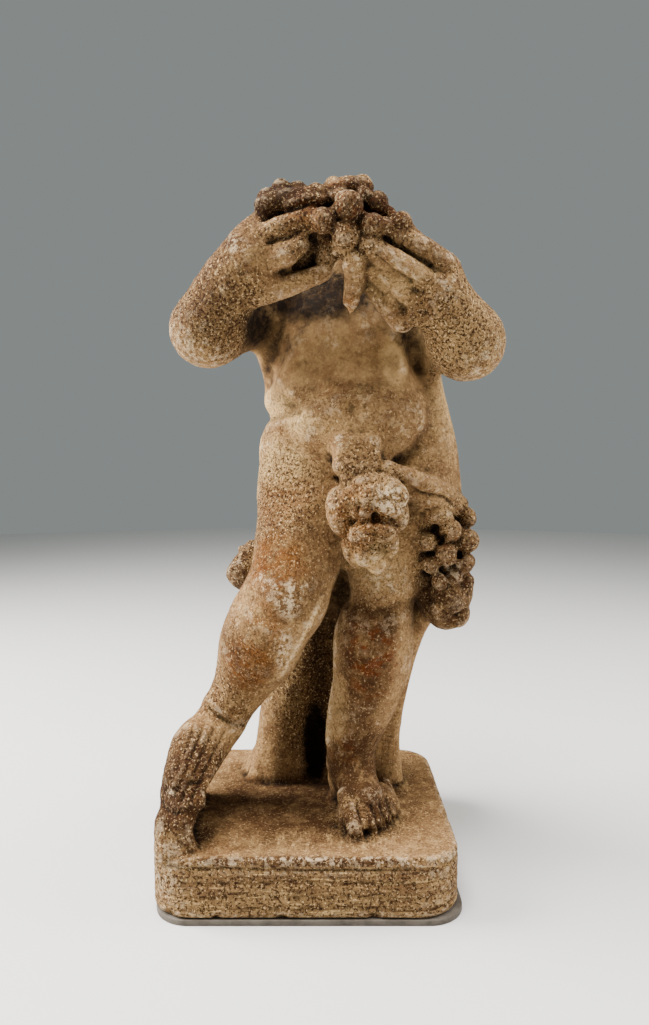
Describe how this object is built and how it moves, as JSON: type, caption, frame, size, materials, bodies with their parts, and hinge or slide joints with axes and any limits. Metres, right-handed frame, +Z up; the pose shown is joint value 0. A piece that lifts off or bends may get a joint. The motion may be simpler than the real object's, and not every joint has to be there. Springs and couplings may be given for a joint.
{
  "type": "putto statue",
  "caption": "Headless stone putto holding a bunch of fruit in raised hands, with a vine at the hips and a tree-stump prop, on a round-cornered plinth.",
  "frame": {"origin": "centre of the sheet's underside, under the middle of the plinth", "axes": "+Z up, the figure faces -Y, +X is on the viewer's right"},
  "size_m": [0.3146, 0.2546, 0.6325],
  "materials": {
    "stone": "matt, pitted, with lichen",
    "sheet": "matt, smooth"
  },
  "bodies": {
    "root": {"putto": "stone", "plinth_sheet": "sheet"}
  },
  "joints": []
}
